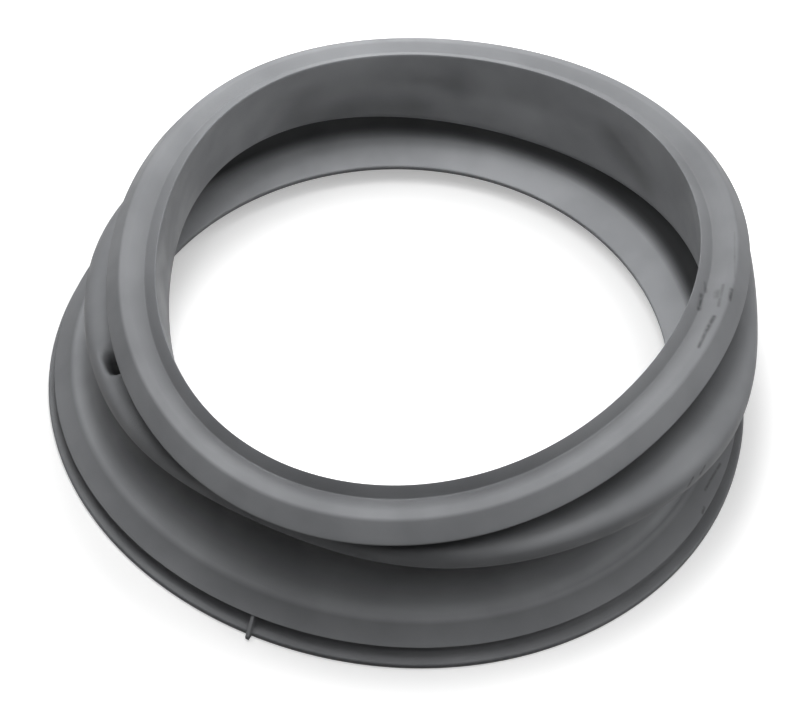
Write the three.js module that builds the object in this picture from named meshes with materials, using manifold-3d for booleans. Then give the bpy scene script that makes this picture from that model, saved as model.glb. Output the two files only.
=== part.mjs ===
// Washing machine door seal: one soft moulded rubber ring, lying on its front collar.
// Millimetres, +Z up. The ring's middle is the axis of the laundry opening.
// The section below is the moulded one. Each zone of it is then carried out and up
// by a few slow waves, because the soft ring has slumped to one side.
import * as THREE from "three";
import * as BufferGeometryUtils from "three/addons/utils/BufferGeometryUtils.js";
import Module from "manifold-3d";

// Driving sizes. Radii run in a chain from the collar, heights in a chain from the floor.
const STATIONS = 80; // steps round the ring
const COLLAR_RADIUS = 190; // bottom lip, 380 across
const LIP_THICK = 3.6; // bottom lip that rests on the floor
const GROOVE_DEPTH = 7.2; // groove for the clamp ring
const GROOVE_ROOT = COLLAR_RADIUS - GROOVE_DEPTH;
const BAND_OVERHANG = 2.8; // how far the band's sharp edge stands over the groove
const BAND_WIDTH = 11.7;
const BAND_EDGE = { r: GROOVE_ROOT + BAND_OVERHANG, z: 12 }; // sharp lower edge of the sloped band
const BAND_KNEE = { r: BAND_EDGE.r - BAND_WIDTH, z: BAND_EDGE.z + 7.8 }; // soft knee at its top
const COLLAR_WALL = 6.3;
const COLLAR_BORE = GROOVE_ROOT - COLLAR_WALL; // inside of the collar
const WALL = 3.3; // bellows wall
const LOWER_WALL = BAND_KNEE.r - 5.4; // outer skin of the wall above the collar
const FOLD_BULGE = 8.9;
const FOLD_OUT = LOWER_WALL + FOLD_BULGE; // the rounded fold that bulges out
const FOLD_LOW = 58.1;
const FOLD_TOP = FOLD_LOW + 15.2;
const CHANNEL = 25.5; // from the lower wall in to the fold at the foot of the inner wall
const BEND_IN = LOWER_WALL - CHANNEL;
const BEND_LOW = FOLD_LOW - 4;
const BEND_WIDE = 2 * WALL + 2.4;
const GLASS_LIP_ROOT = { r: LOWER_WALL - 4, z: BAND_KNEE.z + 6.7 };
const GLASS_LIP_REACH = 17.5;
const GLASS_LIP = { r: GLASS_LIP_ROOT.r - GLASS_LIP_REACH, z: GLASS_LIP_ROOT.z - 8.8 }; // free edge
const GLASS_LIP_THICK = 4; // of the lip that meets the door glass
const RIM_INNER = { r: BEND_IN - 3.3, z: FOLD_TOP + 30.4 }; // raised thin inner edge of the rim
const RIM_GROOVE = { r: RIM_INNER.r + 6.4, z: RIM_INNER.z - 2.9 };
const RIM_OUTER = { r: RIM_GROOVE.r + 12.6, z: RIM_INNER.z - 1 }; // soft outer edge of the rim's top
const RIM_SKIRT = { r: RIM_OUTER.r + 7.8, z: RIM_OUTER.z - 10 }; // lower edge of its outer face
const SKIRT_THICK = 4.4;
const RIM_WEB = 4.4; // rubber over the hollow under the rim

// Slump of each zone: lobes round the ring, height of the wave and where its crest points
const wave = (lobes, size, crestDegrees) => ({ lobes, size, crest: crestDegrees });
const SLUMP = {
  collar: { out: [wave(2, 3.7, 139), wave(3, 1.5, 61)], up: [] },
  lip: { out: [wave(1, 1.9, 269), wave(2, 0.7, 152), wave(3, 0.6, 75)], up: [wave(1, 1.1, 228)] },
  mid: {
    out: [wave(1, 17.0, 19), wave(2, 2.6, 155), wave(3, 1.9, 61), wave(4, 3.0, 23), wave(5, 2.3, 31), wave(6, 2.0, 36)],
    up: [wave(1, 3.8, 25), wave(2, 3.6, 88), wave(3, 2.3, 68)],
  },
  bend: {
    out: [wave(1, 19.6, 13), wave(2, 1.2, 119), wave(3, 3.3, 116)],
    up: [wave(1, 2.3, 152), wave(2, 6.1, 148), wave(3, 1.7, 19)],
  },
  rim: {
    out: [wave(1, 15.1, 348), wave(2, 3.8, 64), wave(3, 2.6, 14), wave(4, 1.2, 14)],
    up: [wave(1, 9.3, 83), wave(2, 4.3, 149), wave(3, 1.8, 39)],
  },
};
// Roll of the rim: rise per millimetre outwards from its inner edge
const RIM_ROLL = [wave(1, 0.062, 308), wave(2, 0.087, 177)];

const sum = (waves, angle) =>
  waves.reduce((s, w) => s + w.size * Math.cos(w.lobes * (angle - (w.crest * Math.PI) / 180)), 0);

// A corner of the section: place, how far the rounding reaches, steps in it, share of each zone
const corner = (r, z, reach, steps, zones = {}) => {
  const share = { lip: 0, mid: 0, bend: 0, rim: 0, ...zones };
  return { at: [r, z, share.lip, share.mid, share.bend, share.rim], reach, steps };
};

const mix = (a, b, t) => a.map((v, i) => v + (b[i] - v) * t);
const span = (a, b) => Math.hypot(a[0] - b[0], a[1] - b[1]);

// Corners to one closed outline, each rounded by a smooth bend between its two edges
function rounded(corners) {
  const out = [];
  corners.forEach((c, i) => {
    const before = corners[(i + corners.length - 1) % corners.length].at;
    const after = corners[(i + 1) % corners.length].at;
    if (!c.reach) {
      out.push(c.at);
      return;
    }
    const [back, ahead] = [c.reach].flat().concat(c.reach);
    const a = mix(c.at, before, back / span(c.at, before));
    const b = mix(c.at, after, ahead / span(c.at, after));
    for (let k = 0; k <= c.steps; k++) {
      const t = k / c.steps;
      out.push(mix(mix(a, c.at, t), mix(c.at, b, t), t));
    }
  });
  return out;
}

function collarSkin() {
  return [
    corner(COLLAR_BORE, 0, 0, 1),
    corner(COLLAR_RADIUS, 0, 0.9, 1),
    corner(COLLAR_RADIUS, LIP_THICK, 1.2, 1),
    corner(GROOVE_ROOT, LIP_THICK + 1.2, 2, 1),
    corner(GROOVE_ROOT, BAND_EDGE.z - 1, 0, 1),
    corner(BAND_EDGE.r, BAND_EDGE.z, 0, 1),
    corner(BAND_KNEE.r, BAND_KNEE.z, 2, 2),
  ];
}

// The leg between the outer fold and the inner one hangs between all three zones
const LEG_TOP = { mid: 0.25, bend: 0.4, rim: 0.35 };

function midFoldSkin() {
  return [
    corner(LOWER_WALL, BAND_KNEE.z + 2, [3.4, 12], 3, { mid: 0.06 }),
    corner(LOWER_WALL, FOLD_LOW - 0.5, 3.4, 2, { mid: 1 }),
    corner(FOLD_OUT, FOLD_LOW, 4.3, 3, { mid: 1 }),
    corner(FOLD_OUT, FOLD_TOP, [9, 11], 3, { mid: 1 }),
    corner(BEND_IN + BEND_WIDE - WALL, FOLD_TOP - 1, 4, 2, LEG_TOP),
    corner(BEND_IN + BEND_WIDE - WALL, BEND_LOW + WALL, 1.2, 1, { bend: 1 }),
    corner(BEND_IN + WALL, BEND_LOW + WALL, 1.2, 1, { bend: 1 }),
  ];
}

function rimSkin() {
  const top = RIM_OUTER.z - RIM_WEB;
  return [
    corner(RIM_INNER.r + 4.6, RIM_GROOVE.z - RIM_WEB, 2.5, 1, { rim: 0.9, bend: 0.1 }),
    corner(RIM_OUTER.r - 0.8, top, 2.5, 1, { rim: 1 }),
    corner(RIM_SKIRT.r - SKIRT_THICK, RIM_SKIRT.z - 1, 0, 1, { rim: 1 }),
    corner(RIM_SKIRT.r, RIM_SKIRT.z, 1.1, 1, { rim: 1 }),
    corner(RIM_OUTER.r, RIM_OUTER.z, 3.2, 2, { rim: 1 }),
    corner(RIM_GROOVE.r, RIM_GROOVE.z, 0, 1, { rim: 1 }),
    corner(RIM_INNER.r, RIM_INNER.z, 0, 1, { rim: 1 }),
    corner(RIM_INNER.r - 0.6, RIM_INNER.z - 1.4, 0, 1, { rim: 1 }),
  ];
}

function innerSkin() {
  const wallIn = LOWER_WALL - WALL;
  return [
    corner(BEND_IN, BEND_LOW, 4.3, 3, { bend: 1 }),
    corner(BEND_IN + BEND_WIDE, BEND_LOW, 4.3, 2, { bend: 1 }),
    corner(BEND_IN + BEND_WIDE, FOLD_TOP - 1 - WALL, 3, 1, LEG_TOP),
    corner(FOLD_OUT - WALL, FOLD_TOP - WALL, [6, 5], 2, { mid: 1 }),
    corner(FOLD_OUT - WALL, FOLD_LOW + WALL, 2.2, 1, { mid: 1 }),
    corner(wallIn, FOLD_LOW + WALL - 0.5, 5, 1, { mid: 1 }),
    corner(GLASS_LIP_ROOT.r, GLASS_LIP_ROOT.z, 4, 1, { mid: 0.18 }),
    corner(GLASS_LIP.r, GLASS_LIP.z, 1, 1, { lip: 1 }),
    corner(GLASS_LIP.r + 1, GLASS_LIP.z - GLASS_LIP_THICK, 0.9, 1, { lip: 1 }),
    corner(LOWER_WALL - 1, GLASS_LIP_ROOT.z - 8, 4, 1),
    corner(COLLAR_BORE, 9, 3, 1),
  ];
}

const SECTION = rounded([...collarSkin(), ...midFoldSkin(), ...rimSkin(), ...innerSkin()]);

// One section point at one angle, with the slump of its zones
function placed(point, angle) {
  const [r, z, lip, mid, bend, rim] = point;
  const share = { collar: 1 - lip - mid - bend - rim, lip, mid, bend, rim };
  let out = r;
  let up = z;
  for (const zone of Object.keys(SLUMP)) {
    if (!share[zone]) continue;
    out += share[zone] * sum(SLUMP[zone].out, angle);
    up += share[zone] * sum(SLUMP[zone].up, angle);
  }
  up += rim * sum(RIM_ROLL, angle) * (r - RIM_INNER.r);
  return [out * Math.cos(angle), out * Math.sin(angle), up];
}

function sweptRing() {
  const positions = [];
  const faces = [];
  const count = SECTION.length;
  for (let s = 0; s < STATIONS; s++) {
    const angle = (s / STATIONS) * 2 * Math.PI;
    SECTION.forEach((point) => positions.push(...placed(point, angle)));
  }
  for (let s = 0; s < STATIONS; s++) {
    const here = s * count;
    const next = ((s + 1) % STATIONS) * count;
    for (let p = 0; p < count; p++) {
      const q = (p + 1) % count;
      faces.push(here + p, next + p, next + q, here + p, next + q, here + q);
    }
  }
  const geometry = new THREE.BufferGeometry();
  geometry.setAttribute("position", new THREE.Float32BufferAttribute(positions, 3));
  geometry.setIndex(faces);
  return geometry;
}

// Small upright rib across the clamp groove, a fitting mark, standing proud of the bottom lip
const RIB_ANGLE = 247;
const RIB_THICK = 1.8;
function alignmentRib() {
  const profile = new THREE.Shape();
  profile.moveTo(GROOVE_ROOT - 3, 1.2);
  profile.lineTo(COLLAR_RADIUS + 3, 1.2);
  profile.lineTo(COLLAR_RADIUS + 3, 3);
  profile.lineTo(BAND_EDGE.r - 0.3, BAND_EDGE.z - 0.5);
  profile.lineTo(GROOVE_ROOT - 3, BAND_EDGE.z - 0.5);
  const geometry = new THREE.ExtrudeGeometry(profile, { depth: RIB_THICK, bevelEnabled: false });
  geometry.translate(sum(SLUMP.collar.out, (RIB_ANGLE * Math.PI) / 180), 0, -RIB_THICK / 2);
  geometry.rotateX(Math.PI / 2);
  geometry.rotateZ((RIB_ANGLE * Math.PI) / 180);
  return geometry;
}

const wasm = await Module();
wasm.setup();

function solid(geometry) {
  const bare = geometry.clone();
  bare.deleteAttribute("normal");
  bare.deleteAttribute("uv");
  const merged = BufferGeometryUtils.mergeVertices(bare, 1e-4);
  return new wasm.Manifold(
    new wasm.Mesh({
      numProp: 3,
      vertProperties: Float32Array.from(merged.attributes.position.array),
      triVerts: Uint32Array.from(merged.index.array),
    }),
  );
}

function geometryOf(body) {
  const mesh = body.getMesh();
  const geometry = new THREE.BufferGeometry();
  geometry.setAttribute("position", new THREE.BufferAttribute(mesh.vertProperties, 3));
  geometry.setIndex(new THREE.BufferAttribute(mesh.triVerts, 1));
  return geometry;
}

const sealGeometry = geometryOf(solid(sweptRing()).add(solid(alignmentRib())));
sealGeometry.computeBoundingBox();
const box = sealGeometry.boundingBox;
sealGeometry.translate(-(box.min.x + box.max.x) / 2, -(box.min.y + box.max.y) / 2, -box.min.z);
sealGeometry.computeVertexNormals();

const rubber = new THREE.MeshStandardMaterial({ color: 0x7c7e82, roughness: 0.62, metalness: 0 });
const seal = new THREE.Mesh(sealGeometry, rubber);
seal.name = "door_seal";

const group = new THREE.Group();
group.add(seal);
export default group;
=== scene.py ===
import math

import bpy
import numpy as np
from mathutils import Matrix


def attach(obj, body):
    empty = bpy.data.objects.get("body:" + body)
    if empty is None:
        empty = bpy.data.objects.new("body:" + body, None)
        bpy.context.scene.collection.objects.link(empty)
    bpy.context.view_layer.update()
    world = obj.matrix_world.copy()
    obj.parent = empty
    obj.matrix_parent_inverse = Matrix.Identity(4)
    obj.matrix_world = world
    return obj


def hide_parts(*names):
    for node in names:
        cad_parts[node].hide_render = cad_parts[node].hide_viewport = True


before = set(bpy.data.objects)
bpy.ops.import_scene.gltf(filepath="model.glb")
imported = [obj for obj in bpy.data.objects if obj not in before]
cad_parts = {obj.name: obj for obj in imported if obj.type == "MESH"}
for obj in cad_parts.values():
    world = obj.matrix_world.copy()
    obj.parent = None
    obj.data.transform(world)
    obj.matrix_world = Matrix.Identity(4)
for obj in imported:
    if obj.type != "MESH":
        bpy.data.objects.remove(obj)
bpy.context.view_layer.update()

MM = 0.001

# Driving sizes of the moulded section, in millimetres, the same as the CAD part's.
# A pair is a radius and a height.
COLLAR_RADIUS = 190.0
COLLAR_BORE = 176.5
BORE_HEIGHT = 9.0
LIP_THICK = 3.6
LIP_TAPER = 1.2
GROOVE_ROOT = 182.8
BAND_EDGE = (185.6, 12.0)
BAND_EDGE_THICK = 1.0
BAND_KNEE = (173.9, 19.8)
LOWER_WALL = 168.5
WALL = 3.3
FOLD_OUT = 177.4
FOLD_LOW = 58.1
FOLD_TOP = 73.3
NECK_DROP = 0.5
LEG_DROP = 1.0
BEND_IN = 143.0
BEND_LOW = 54.1
BEND_WIDE = 9.0
GLASS_LIP = (147.0, 17.7)
GLASS_LIP_THICK = 4.0
GLASS_LIP_ROOT = (164.5, 26.5)
GLASS_LIP_ROOT_THICK = 8.0
RIM_INNER = (139.7, 103.7)
RIM_GROOVE = (146.1, 100.8)
RIM_OUTER = (158.7, 102.7)
RIM_SKIRT = (166.5, 92.7)
RIM_CHAMFER = (0.6, 1.4)  # how far it runs in and down from the inner edge
RIM_LEG = 4.6
RIM_WEB = 4.4
RIM_WEB_INSET = 0.8
SKIRT_THICK = 4.4
SKIRT_BEVEL = 1.0

# The fitting rib across the clamp groove
RIB_ANGLE = math.radians(247)
RIB_THICK = 1.8
RIB_PROUD = 3.0
RIB_UPRIGHT = 3.0
RIB_LEAN = 0.95
RIB_CLEAR = 0.6

# Not as in the CAD part: a more hollow lower wall with a lower foot, and one more line along
# the top of the rim
WALL_HOLLOW = 2.4
FOOT_RISE = 1.8
RIM_CROWN = (154.0, 102.9)

# Height above which the lower wall has all of its painted shade, and how far across the band its
# painted shade starts and across the glass lip its painted light, as a share
SHADE_LINE = 47.0
BAND_TONE_FROM = 0.2
LIP_TONE_FROM = 0.23

# Every zone of the section has its own slump. "fin" and "chamfer" add to the rim's thin inner
# edge, and "pale" paints light and "dim" paints shade into the tone of the rubber.
ZONES = ("lip", "mid", "bend", "rim", "fin", "chamfer", "pale", "dim")
LEG_TOP = {"mid": 0.25, "bend": 0.4, "rim": 0.35}

# Slump of each zone, outwards and upwards: lobes, height, direction of the crest in degrees
SLUMP = {
    "collar": ([(2, 3.7, 139), (3, 1.5, 61)], []),
    "lip": ([(1, 1.9, 269), (2, 0.7, 152), (3, 0.6, 75)], [(1, 1.1, 228)]),
    "mid": (
        [(1, 17.0, 19), (2, 2.6, 155), (3, 1.9, 61), (4, 3.0, 23), (5, 2.3, 31), (6, 2.0, 36)],
        [(1, 3.8, 25), (2, 3.6, 88), (3, 2.3, 68)],
    ),
    "bend": (
        [(1, 19.6, 13), (2, 1.2, 119), (3, 3.3, 116)],
        [(1, 2.3, 152), (2, 6.1, 148), (3, 1.7, 19)],
    ),
    "rim": (
        [(1, 15.1, 348), (2, 3.8, 64), (3, 2.6, 14), (4, 1.2, 14)],
        [(1, 9.3, 83), (2, 4.3, 149), (3, 1.8, 39)],
    ),
}
# Roll of the rim: rise per millimetre outwards from its inner edge
RIM_ROLL = [(1, 0.062, 308), (2, 0.087, 177)]
# The thin inner edge stands up more towards the viewer, and its chamfer is upright at the
# back right
FIN_OUT = [(0, 0.8, 0), (1, 1.5, 270), (2, 0.8, 90)]
FIN_UP = [(0, 1.8, 0), (1, 1.8, 270)]
CHAMFER_OUT = [(0, 0.3, 0), (1, 0.3, 60)]

# Tone round the ring, as changes from 1. The lip at the glass, the foot of the wall and the knee
# of the band are painted lighter, as painted light. The darker tone of the sheltered slopes, the
# band and the lip's lower edge is painted shade.
PAINTED_LIGHT = [(0, 0.6, 0), (1, 0.12, 60)]
DIM = [(0, -0.88, 0), (1, -0.05, 262)]
# The rim's tone is painted light at the back and painted shade at its sides
RIM_LIGHT_AND_SHADE = [(0, -0.06, 0), (1, 0.1, 90), (2, 0.09, 90)]

# Dents in the inner wall: angle, height, half width in degrees, half height, depth, lean per mm
DENTS = [
    (88, 81, 9, 9, 1.3, 0),
    (61, 79, 8, 9, 1.3, 0),
    (35, 84, 2.2, 9, -1.1, 0.42),
    (30, 84, 3.5, 9, 0.7, 0.42),
    (112, 78, 12, 12, 0.8, 0),
]
# Pit in the top of the fold beside the rim: angle, radius, half width in degrees and mm, depth
FOLD_PIT = (199.5, 167.5, 2.8, 4.2, 8.5)

# Fineness of the mesh
STATIONS = 300
LONGEST_STEP = 2.6
STEPS_IN_BEND = 4

# Rubber
RUBBER_DARK = (0.235, 0.241, 0.252, 1)
RUBBER_LIGHT = (0.285, 0.292, 0.304, 1)
ROUGHNESS = (0.5, 0.62)
SPECULAR = 0.18
MOTTLE_SCALE = 24
SHEEN_SCALE = 60
GRAIN_SCALE = 1100
GRAIN_STRENGTH = 0.15
GRAIN_DEPTH = 0.0002
# Painted shade in grooves and folds: how far the occlusion reaches, and the tone at its darkest
CREVICE_REACH = 0.018
CREVICE_TONE = 0.05
SCUFF_SCALE = 420

# Scuffs and scratches: start, end (both in mm), half width in mm, strength
MARKS = [
    ((156.9, -53.6, 104.2), (152.3, -62.2, 103.7), 2.0, 0.9),
    ((152.3, -62.2, 103.7), (147.6, -72.3, 103.4), 1.7, 0.85),
    ((167.2, -36.1, 105.4), (165.6, -42.5, 105.0), 1.7, 0.75),
    ((173.2, 1.9, 106.8), (171.5, -13.6, 106.3), 0.9, 0.35),
    ((171.5, -13.6, 106.3), (169.7, -28.1, 105.6), 1.0, 0.45),
    ((163.8, -33.0, 104.9), (159.8, -46.6, 104.5), 1.6, 0.6),
    ((160.5, -37.0, 104.9), (160.0, -40.0, 104.5), 3.2, 0.3),
    ((154.8, -29.5, 103.3), (155.0, -34.9, 102.5), 1.6, 0.4),
    ((152.1, -37.8, 102.9), (150.4, -45.9, 102.1), 2.3, 0.6),
    ((145.0, -47.0, 103.5), (144.0, -52.5, 102.8), 1.3, 0.5),
    ((169.5, -75.6, 14.4), (164.3, -84.5, 15.2), 1.3, 0.45),
    ((164.3, -84.5, 15.2), (159.7, -93.0, 15.5), 1.3, 0.55),
    ((158.4, -102.5, 13.1), (157.2, -105.6, 12.6), 1.4, 0.5),
    ((149.9, -118.8, 69.4), (147.5, -121.9, 67.5), 1.5, 0.6),
    ((143.6, -125.6, 69.3), (141.1, -128.3, 66.5), 1.5, 0.6),
]
# Painted shade, broad and soft, down in the pit and over the buckles of the inner wall: as MARKS
SHADES = [
    ((-143.0, -45.0, 60.0), (-140.5, -55.0, 59.5), 9.5, 1.0),
    ((-36.0, 135.0, 62.0), (8.0, 142.0, 60.0), 25.0, 0.42),
    ((-50.0, 127.0, 84.0), (-54.0, 129.0, 68.0), 21.0, 0.28),
    ((34.0, 138.0, 88.0), (33.5, 139.0, 84.0), 19.0, 0.26),
    ((122.0, 94.0, 85.0), (138.0, 79.0, 68.0), 22.0, 0.42),
]

# Studio: the floor glows less in a ring under the seal, so that the seal's shadow stays there
FLOOR_HALF = 6.0
FLOOR_BELOW = 0.0002
FLOOR_PAINT = 0.8
FLOOR_BOUNCE = 0.12
FLOOR_GLOW = (0.4, 0.9)
GLOW_RING = 0.17
GLOW_FROM = (0.02, 0.075)
AMBIENT = 0.01
LAMP_AIM = (0, 0, 0.05)
# Softboxes: place, size, power
SOFTBOXES = {
    "over_centre": ((0, 0, 0.8), 0.2, 1.4),
    "over_front": ((0, -0.3, 0.7), 0.35, 1.25),
    "over_left": ((-0.3, 0, 0.7), 0.35, 0.47),
    "over_right": ((0.3, 0, 0.7), 0.35, 0.4),
    "near_left": ((-0.15, 0, 0.5), 0.2, 0.5),
    "low_back": ((0, 0.9, 0.5), 0.6, 6.0),
    "low_right": ((0.9, -0.15, 0.42), 0.6, 2.4),
}

# Camera, found from the outlines in the photograph
CAMERA_ELEVATION = math.radians(49.68)
CAMERA_DISTANCE = 0.9661
CAMERA_AIM = (0.0026, -0.0260, 0.040)
CAMERA_LENS = 82.35
CAMERA_SENSOR = 36


def wave(terms, angle):
    """The sum of a few slow waves round the ring."""
    total = np.zeros_like(angle)
    for lobes, size, crest in terms:
        total = total + size * np.cos(lobes * (angle - math.radians(crest)))
    return total


def corner(r, z, reach, **share):
    """A corner of the section, how far its rounding reaches, and its share of every zone."""
    return np.array([r, z] + [share.get(zone, 0.0) for zone in ZONES]), reach


def between(start, end, share):
    """A point on a straight line of the section, a share of the way along it."""
    return [a + (b - a) * share for a, b in zip(start, end)]


def collar_corners():
    return [
        corner(COLLAR_BORE, 0, 0.5),
        corner(COLLAR_RADIUS, 0, 0.9),
        corner(COLLAR_RADIUS, LIP_THICK, 1.3),
        corner(GROOVE_ROOT, LIP_THICK + LIP_TAPER, 2),
        corner(GROOVE_ROOT, BAND_EDGE[1] - BAND_EDGE_THICK, 0.8),
        corner(*BAND_EDGE, 0.45, dim=0.1),
        corner(*between(BAND_KNEE, BAND_EDGE, BAND_TONE_FROM), 0.3, dim=0.16),
        corner(*BAND_KNEE, 1.0, pale=0.7),
    ]


def outer_fold_corners():
    leg = BEND_IN + BEND_WIDE - WALL
    wall = LOWER_WALL - WALL_HOLLOW
    return [
        corner(wall, BAND_KNEE[1] + FOOT_RISE, (5.5, 24), mid=0.06, pale=0.95),
        corner(wall, SHADE_LINE, 0.4, mid=0.72, dim=1),
        corner(wall, FOLD_LOW - NECK_DROP, 3.4, mid=1, dim=1),
        corner(FOLD_OUT, FOLD_LOW, 4.3, mid=1, dim=0.5),
        corner(FOLD_OUT, FOLD_TOP, (9, 11), mid=1),
        corner(leg, FOLD_TOP - LEG_DROP, 4, **LEG_TOP),
        corner(leg, BEND_LOW + WALL, 1.2, bend=1),
        corner(BEND_IN + WALL, BEND_LOW + WALL, 1.2, bend=1),
    ]


def rim_corners():
    chamfer_in, chamfer_down = RIM_CHAMFER
    return [
        corner(RIM_INNER[0] + RIM_LEG, RIM_GROOVE[1] - RIM_WEB, 2.5, rim=0.9, bend=0.1),
        corner(RIM_OUTER[0] - RIM_WEB_INSET, RIM_OUTER[1] - RIM_WEB, 2.5, rim=1),
        corner(RIM_SKIRT[0] - SKIRT_THICK, RIM_SKIRT[1] - SKIRT_BEVEL, 0.8, rim=1),
        corner(*RIM_SKIRT, 1.2, rim=1),
        corner(*RIM_OUTER, 1.2, rim=1),
        corner(*RIM_CROWN, 0.9, rim=1),
        corner(*RIM_GROOVE, 0.5, rim=1),
        corner(*RIM_INNER, 0.5, rim=1, fin=1),
        corner(
            RIM_INNER[0] - chamfer_in, RIM_INNER[1] - chamfer_down, 0.5,
            rim=1, fin=1, chamfer=1,
        ),
    ]


def inside_corners():
    leg = BEND_IN + BEND_WIDE
    wall = LOWER_WALL - WALL - WALL_HOLLOW / 2
    return [
        corner(BEND_IN, BEND_LOW, 4.3, bend=1),
        corner(leg, BEND_LOW, 4.3, bend=1),
        corner(leg, FOLD_TOP - LEG_DROP - WALL, 3, **LEG_TOP),
        corner(FOLD_OUT - WALL, FOLD_TOP - WALL, (6, 5), mid=1),
        corner(FOLD_OUT - WALL, FOLD_LOW + WALL, 2.2, mid=1, dim=1),
        corner(wall, FOLD_LOW + WALL - NECK_DROP, 5, mid=1, dim=1),
        corner(*GLASS_LIP_ROOT, 4, mid=0.18, dim=1),
        corner(
            *between(GLASS_LIP_ROOT, GLASS_LIP, LIP_TONE_FROM), 0.3,
            mid=0.14, lip=LIP_TONE_FROM, pale=0.95,
        ),
        corner(*GLASS_LIP, 1, lip=1, pale=1),
        corner(GLASS_LIP[0] + 1, GLASS_LIP[1] - GLASS_LIP_THICK, 0.9, lip=1, dim=0.6),
        corner(LOWER_WALL - 1, GLASS_LIP_ROOT[1] - GLASS_LIP_ROOT_THICK, 4),
        corner(COLLAR_BORE, BORE_HEIGHT, 3),
    ]


def rounded(corners):
    """The closed outline: every corner rounded, and long stretches cut into short steps."""
    points = []
    for i, (at, reach) in enumerate(corners):
        before = corners[i - 1][0]
        after = corners[(i + 1) % len(corners)][0]
        back, ahead = reach if isinstance(reach, tuple) else (reach, reach)
        a = at + (before - at) * back / math.hypot(*(before - at)[:2])
        b = at + (after - at) * ahead / math.hypot(*(after - at)[:2])
        for k in range(STEPS_IN_BEND + 1):
            t = k / STEPS_IN_BEND
            points.append((a * (1 - t) + at * t) * (1 - t) + (at * (1 - t) + b * t) * t)
    fine = []
    for i, here in enumerate(points):
        there = points[(i + 1) % len(points)]
        cuts = max(1, math.ceil(math.hypot(*(there - here)[:2]) / LONGEST_STEP))
        fine += [here + (there - here) * k / cuts for k in range(cuts)]
    return np.array(fine)


def station_angles():
    """Even steps round the ring, with close ones at the two sides of the fitting rib."""
    half = RIB_THICK / 2 / COLLAR_RADIUS
    edges = [RIB_ANGLE + side * half * width for side in (-1, 1) for width in (1.25, 1, 0.7)]
    even = np.arange(STATIONS) * 2 * math.pi / STATIONS
    even = even[np.abs(even - RIB_ANGLE) > half * 1.6]
    return np.sort(np.concatenate([even, edges]))


def with_rib(r, z, angle):
    """Carries the wall of the groove out to the rib's edge at the rib's own stations."""
    on_rib = np.abs(angle - RIB_ANGLE) <= RIB_THICK / 2 / COLLAR_RADIUS * 1.01
    in_groove = (z > RIB_CLEAR) & (z < BAND_EDGE[1] - RIB_CLEAR) & (r > GROOVE_ROOT - 0.5)
    edge = COLLAR_RADIUS + RIB_PROUD - np.clip(z - RIB_UPRIGHT, 0, None) * RIB_LEAN
    return np.where(on_rib & in_groove, np.maximum(r, edge), r)


def dented(r, z, angle):
    """Pushes the thin inner wall outwards where the rubber has set in a dent."""
    push = np.zeros_like(r)
    for at, height, wide, tall, depth, lean in DENTS:
        off = np.degrees(angle) - at - lean * (z - height)
        push = push + depth * np.exp(-((off / wide) ** 2) - ((z - height) / tall) ** 2)
    return r + np.where(z > FOLD_LOW, push, 0)


def pitted(r, z, angle):
    """Lets the top of the fold sink where it has buckled away from the rim."""
    at, radius, wide, broad, depth = FOLD_PIT
    off = np.degrees(angle) % 360 - at
    sink = depth * np.exp(-((off / wide) ** 4) - ((r - radius) / broad) ** 4)
    fold_top = (z > FOLD_LOW + 6) & (z < FOLD_TOP + 1)
    return z - np.where(fold_top, sink, 0)


def ring_points():
    """Every point of the ring in metres, by station and place in the section, and its tone of
    painted light and shade.
    """
    section = rounded(
        collar_corners() + outer_fold_corners() + rim_corners() + inside_corners()
    )
    angle = station_angles()[:, None]
    flat_r = section[None, :, 0]
    flat_z = section[None, :, 1]
    share = {zone: section[None, :, 2 + i] for i, zone in enumerate(ZONES)}
    fin = share.pop("fin")
    chamfer = share.pop("chamfer")
    # The tone is painted light where "pale", painted shade where "dim", and on the rim painted
    # light and shade
    tone = 1 + share.pop("pale") * wave(PAINTED_LIGHT, angle) + share.pop("dim") * wave(DIM, angle)
    tone = tone + share["rim"] * wave(RIM_LIGHT_AND_SHADE, angle)
    share["collar"] = 1 - sum(share.values())

    z = pitted(flat_r, flat_z, angle)
    r = with_rib(flat_r + 0 * angle, z, angle)
    for zone, (outwards, upwards) in SLUMP.items():
        r = r + share[zone] * wave(outwards, angle)
        z = z + share[zone] * wave(upwards, angle)
    z = z + share["rim"] * wave(RIM_ROLL, angle) * (flat_r - RIM_INNER[0])
    r = r + fin * wave(FIN_OUT, angle) + chamfer * wave(CHAMFER_OUT, angle)
    z = z + fin * wave(FIN_UP, angle)
    r = np.where(share["mid"] < 0.5, dented(r, z, angle), r)

    points = np.stack([r * np.cos(angle), r * np.sin(angle), z], axis=-1)
    low = points.min(axis=(0, 1))
    high = points.max(axis=(0, 1))
    points -= [(low[0] + high[0]) / 2, (low[1] + high[1]) / 2, low[2]]
    return points * MM, tone


def linked(thing):
    bpy.context.scene.collection.objects.link(thing)
    return thing


def seal_object():
    """The whole seal as one closed mesh, with its tone of painted light and shade kept on every
    point.
    """
    points, tone = ring_points()
    stations, count, _ = points.shape
    s = np.arange(stations)[:, None]
    p = np.arange(count)[None, :]
    s2 = (s + 1) % stations
    p2 = (p + 1) % count
    faces = np.stack([s * count + p, s2 * count + p, s2 * count + p2, s * count + p2], axis=-1)
    mesh = bpy.data.meshes.new("door_seal_rubber")
    mesh.from_pydata(points.reshape(-1, 3).tolist(), [], faces.reshape(-1, 4).tolist())
    mesh.polygons.foreach_set("use_smooth", [True] * len(mesh.polygons))
    mesh.attributes.new("tone", "FLOAT", "POINT").data.foreach_set("value", tone.ravel().tolist())
    mesh.update()
    return linked(bpy.data.objects.new("door_seal_rubber", mesh))


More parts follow.
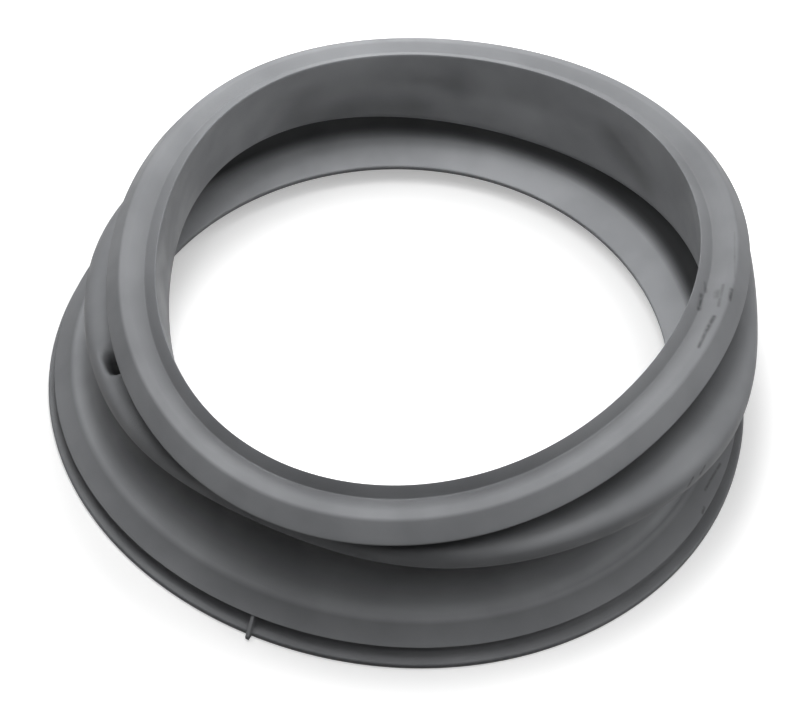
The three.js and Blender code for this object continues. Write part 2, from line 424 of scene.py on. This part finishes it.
def feed(tree, socket, value):
    """Links another node's output to a socket, or sets the socket to a plain value."""
    if isinstance(value, bpy.types.NodeSocket):
        tree.links.new(value, socket)
    else:
        socket.default_value = value


def maths(tree, operation, first, second=0, clamp=False):
    made = tree.nodes.new("ShaderNodeMath")
    made.operation = operation
    made.use_clamp = clamp
    feed(tree, made.inputs[0], first)
    feed(tree, made.inputs[1], second)
    return made.outputs["Value"]


def vectors(tree, operation, first, second=(0, 0, 0), output="Vector"):
    made = tree.nodes.new("ShaderNodeVectorMath")
    made.operation = operation
    feed(tree, made.inputs[0], first)
    feed(tree, made.inputs[1], second)
    return made.outputs[output]


def noise(tree, place, scale, detail):
    texture = tree.nodes.new("ShaderNodeTexNoise")
    texture.inputs["Scale"].default_value = scale
    texture.inputs["Detail"].default_value = detail
    tree.links.new(place, texture.inputs["Vector"])
    return texture.outputs["Fac"]


def mapped(tree, value, low, high, to_low, to_high):
    """Carries a value softly from one range into another."""
    made = tree.nodes.new("ShaderNodeMapRange")
    made.interpolation_type = "SMOOTHSTEP"
    tree.links.new(value, made.inputs["Value"])
    made.inputs["From Min"].default_value = low
    made.inputs["From Max"].default_value = high
    made.inputs["To Min"].default_value = to_low
    made.inputs["To Max"].default_value = to_high
    return made.outputs["Result"]


def mixed(tree, factor, first, second):
    """A blend of two colours."""
    made = tree.nodes.new("ShaderNodeMix")
    made.data_type = "RGBA"
    made.inputs["A"].default_value = first
    made.inputs["B"].default_value = second
    tree.links.new(factor, made.inputs["Factor"])
    return made.outputs["Result"]


def streak(tree, place, mark):
    """A soft line between two points on the surface, as a mask."""
    start, end, half_width, strength = mark
    start = tuple(c * MM for c in start)
    along = tuple(e * MM - s for e, s in zip(end, start))
    size = sum(c * c for c in along)
    from_start = vectors(tree, "SUBTRACT", place, start)
    unit = tuple(c / size for c in along)
    share = vectors(tree, "DOT_PRODUCT", from_start, unit, output="Value")
    share = maths(tree, "MINIMUM", maths(tree, "MAXIMUM", share, 0), 1)
    nearest = vectors(tree, "MULTIPLY", share, along)
    gap = vectors(tree, "DISTANCE", from_start, nearest, output="Value")
    return mapped(tree, gap, 0, half_width * MM, strength, 0)


def scuffed(tree, place):
    """What every spot keeps of its tone under the scuffs and scratches."""
    total = streak(tree, place, MARKS[0])
    for mark in MARKS[1:]:
        total = maths(tree, "MAXIMUM", total, streak(tree, place, mark))
    broken = mapped(tree, noise(tree, place, SCUFF_SCALE, 2), 0.3, 0.55, 0.5, 1)
    return maths(tree, "SUBTRACT", 1, maths(tree, "MULTIPLY", total, broken))


def shaded(tree, place, kept):
    """What every spot keeps of its tone under the painted shade too."""
    for shade in SHADES:
        left = maths(tree, "SUBTRACT", 1, streak(tree, place, shade))
        kept = maths(tree, "MULTIPLY", kept, left)
    return kept


def painted_crevice_shade(tree):
    """Open faces keep their tone, and grooves and deep folds get painted shade."""
    shelter = tree.nodes.new("ShaderNodeAmbientOcclusion")
    shelter.samples = 1
    shelter.inputs["Distance"].default_value = CREVICE_REACH
    return mapped(tree, shelter.outputs["AO"], 0.2, 0.85, CREVICE_TONE, 1)


def rubber_material():
    """Matt grey rubber: mottled, with scuffs, painted light and shade and a fine grain."""
    material = bpy.data.materials.new("rubber_grey")
    material.use_nodes = True
    tree = material.node_tree
    shader = tree.nodes["Principled BSDF"]
    place = tree.nodes.new("ShaderNodeTexCoord").outputs["Object"]
    zone = tree.nodes.new("ShaderNodeAttribute")
    zone.attribute_name = "tone"

    mottle = mapped(tree, noise(tree, place, MOTTLE_SCALE, 6), 0.3, 0.7, 0, 1)
    clean = mixed(tree, mottle, RUBBER_DARK, RUBBER_LIGHT)
    # Real scuffs, with painted shade in the grooves and folds
    kept = maths(tree, "MULTIPLY", scuffed(tree, place), painted_crevice_shade(tree))
    # Painted light and shade by zone, from the tone on the mesh
    kept = maths(tree, "MULTIPLY", kept, zone.outputs["Fac"])
    kept = shaded(tree, place, kept)
    tree.links.new(vectors(tree, "MULTIPLY", clean, kept), shader.inputs["Base Color"])

    sheen = mapped(tree, noise(tree, place, SHEEN_SCALE, 4), 0.3, 0.7, *ROUGHNESS)
    tree.links.new(sheen, shader.inputs["Roughness"])
    shader.inputs["Specular IOR Level"].default_value = SPECULAR

    bump = tree.nodes.new("ShaderNodeBump")
    bump.inputs["Strength"].default_value = GRAIN_STRENGTH
    bump.inputs["Distance"].default_value = GRAIN_DEPTH
    tree.links.new(noise(tree, place, GRAIN_SCALE, 3), bump.inputs["Height"])
    tree.links.new(bump.outputs["Normal"], shader.inputs["Normal"])
    return material


def seen_directly(tree):
    """1 for what the camera sees, also in a mirror or through glass, and 0 for light on its way."""
    path = tree.nodes.new("ShaderNodeLightPath").outputs
    both = maths(tree, "ADD", path["Is Camera Ray"], path["Is Glossy Ray"])
    return maths(tree, "ADD", both, path["Is Transmission Ray"], clamp=True)


def white_floor():
    """A white floor that sends little light up at the seal and keeps the seal's shadow."""
    material = bpy.data.materials.new("white_floor")
    material.use_nodes = True
    tree = material.node_tree
    shader = tree.nodes["Principled BSDF"]
    seen = seen_directly(tree)
    bounce = (FLOOR_BOUNCE, FLOOR_BOUNCE, FLOOR_BOUNCE, 1)
    paint = (FLOOR_PAINT, FLOOR_PAINT, FLOOR_PAINT, 1)
    tree.links.new(mixed(tree, seen, bounce, paint), shader.inputs["Base Color"])
    shader.inputs["Roughness"].default_value = 1.0
    shader.inputs["Specular IOR Level"].default_value = 0.0
    shader.inputs["Emission Color"].default_value = (1, 1, 1, 1)

    place = tree.nodes.new("ShaderNodeTexCoord").outputs["Object"]
    centre = vectors(tree, "LENGTH", place, output="Value")
    off_ring = maths(tree, "ABSOLUTE", maths(tree, "SUBTRACT", centre, GLOW_RING))
    glow = maths(tree, "MULTIPLY", seen, mapped(tree, off_ring, *GLOW_FROM, *FLOOR_GLOW))
    tree.links.new(glow, shader.inputs["Emission Strength"])
    return material


def floor():
    mesh = bpy.data.meshes.new("floor")
    far = FLOOR_HALF
    corners = [(-far, -far, 0), (far, -far, 0), (far, far, 0), (-far, far, 0)]
    mesh.from_pydata(corners, [], [(0, 1, 2, 3)])
    mesh.materials.append(white_floor())
    ground = linked(bpy.data.objects.new("floor", mesh))
    ground.location.z = -FLOOR_BELOW


def sky():
    """A white sky where it is seen, and next to no light from it."""
    world = bpy.data.worlds.new("studio")
    bpy.context.scene.world = world
    world.use_nodes = True
    tree = world.node_tree
    ambient = tree.nodes["Background"]
    ambient.inputs["Color"].default_value = (1, 1, 1, 1)
    ambient.inputs["Strength"].default_value = AMBIENT
    white = tree.nodes.new("ShaderNodeBackground")
    white.inputs["Color"].default_value = (1, 1, 1, 1)
    white.inputs["Strength"].default_value = 1.0
    mix = tree.nodes.new("ShaderNodeMixShader")
    tree.links.new(seen_directly(tree), mix.inputs["Fac"])
    tree.links.new(ambient.outputs["Background"], mix.inputs[1])
    tree.links.new(white.outputs["Background"], mix.inputs[2])
    tree.links.new(mix.outputs["Shader"], tree.nodes["World Output"].inputs["Surface"])


def softbox(name, place, size, power):
    light = bpy.data.lights.new(name, "AREA")
    light.shape = "SQUARE"
    light.size = size
    light.energy = power
    lamp = linked(bpy.data.objects.new(name, light))
    lamp.location = place
    way = np.array(LAMP_AIM) - np.array(place)
    way = way / np.linalg.norm(way)
    lamp.rotation_euler = (math.acos(-way[2]), 0, math.atan2(-way[0], way[1]))


def camera():
    data = bpy.data.cameras.new("camera")
    data.sensor_width = CAMERA_SENSOR
    data.lens = CAMERA_LENS
    eye = linked(bpy.data.objects.new("camera", data))
    eye.location = (
        CAMERA_AIM[0],
        CAMERA_AIM[1] - CAMERA_DISTANCE * math.cos(CAMERA_ELEVATION),
        CAMERA_AIM[2] + CAMERA_DISTANCE * math.sin(CAMERA_ELEVATION),
    )
    eye.rotation_euler = (math.pi / 2 - CAMERA_ELEVATION, 0, 0)
    bpy.context.scene.camera = eye


seal = seal_object()
seal.data.materials.append(rubber_material())
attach(seal, "root")
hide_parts("door_seal")

floor()
sky()
for name, (place, size, power) in SOFTBOXES.items():
    softbox(name, place, size, power)
camera()
bpy.context.scene.view_settings.view_transform = "Standard"
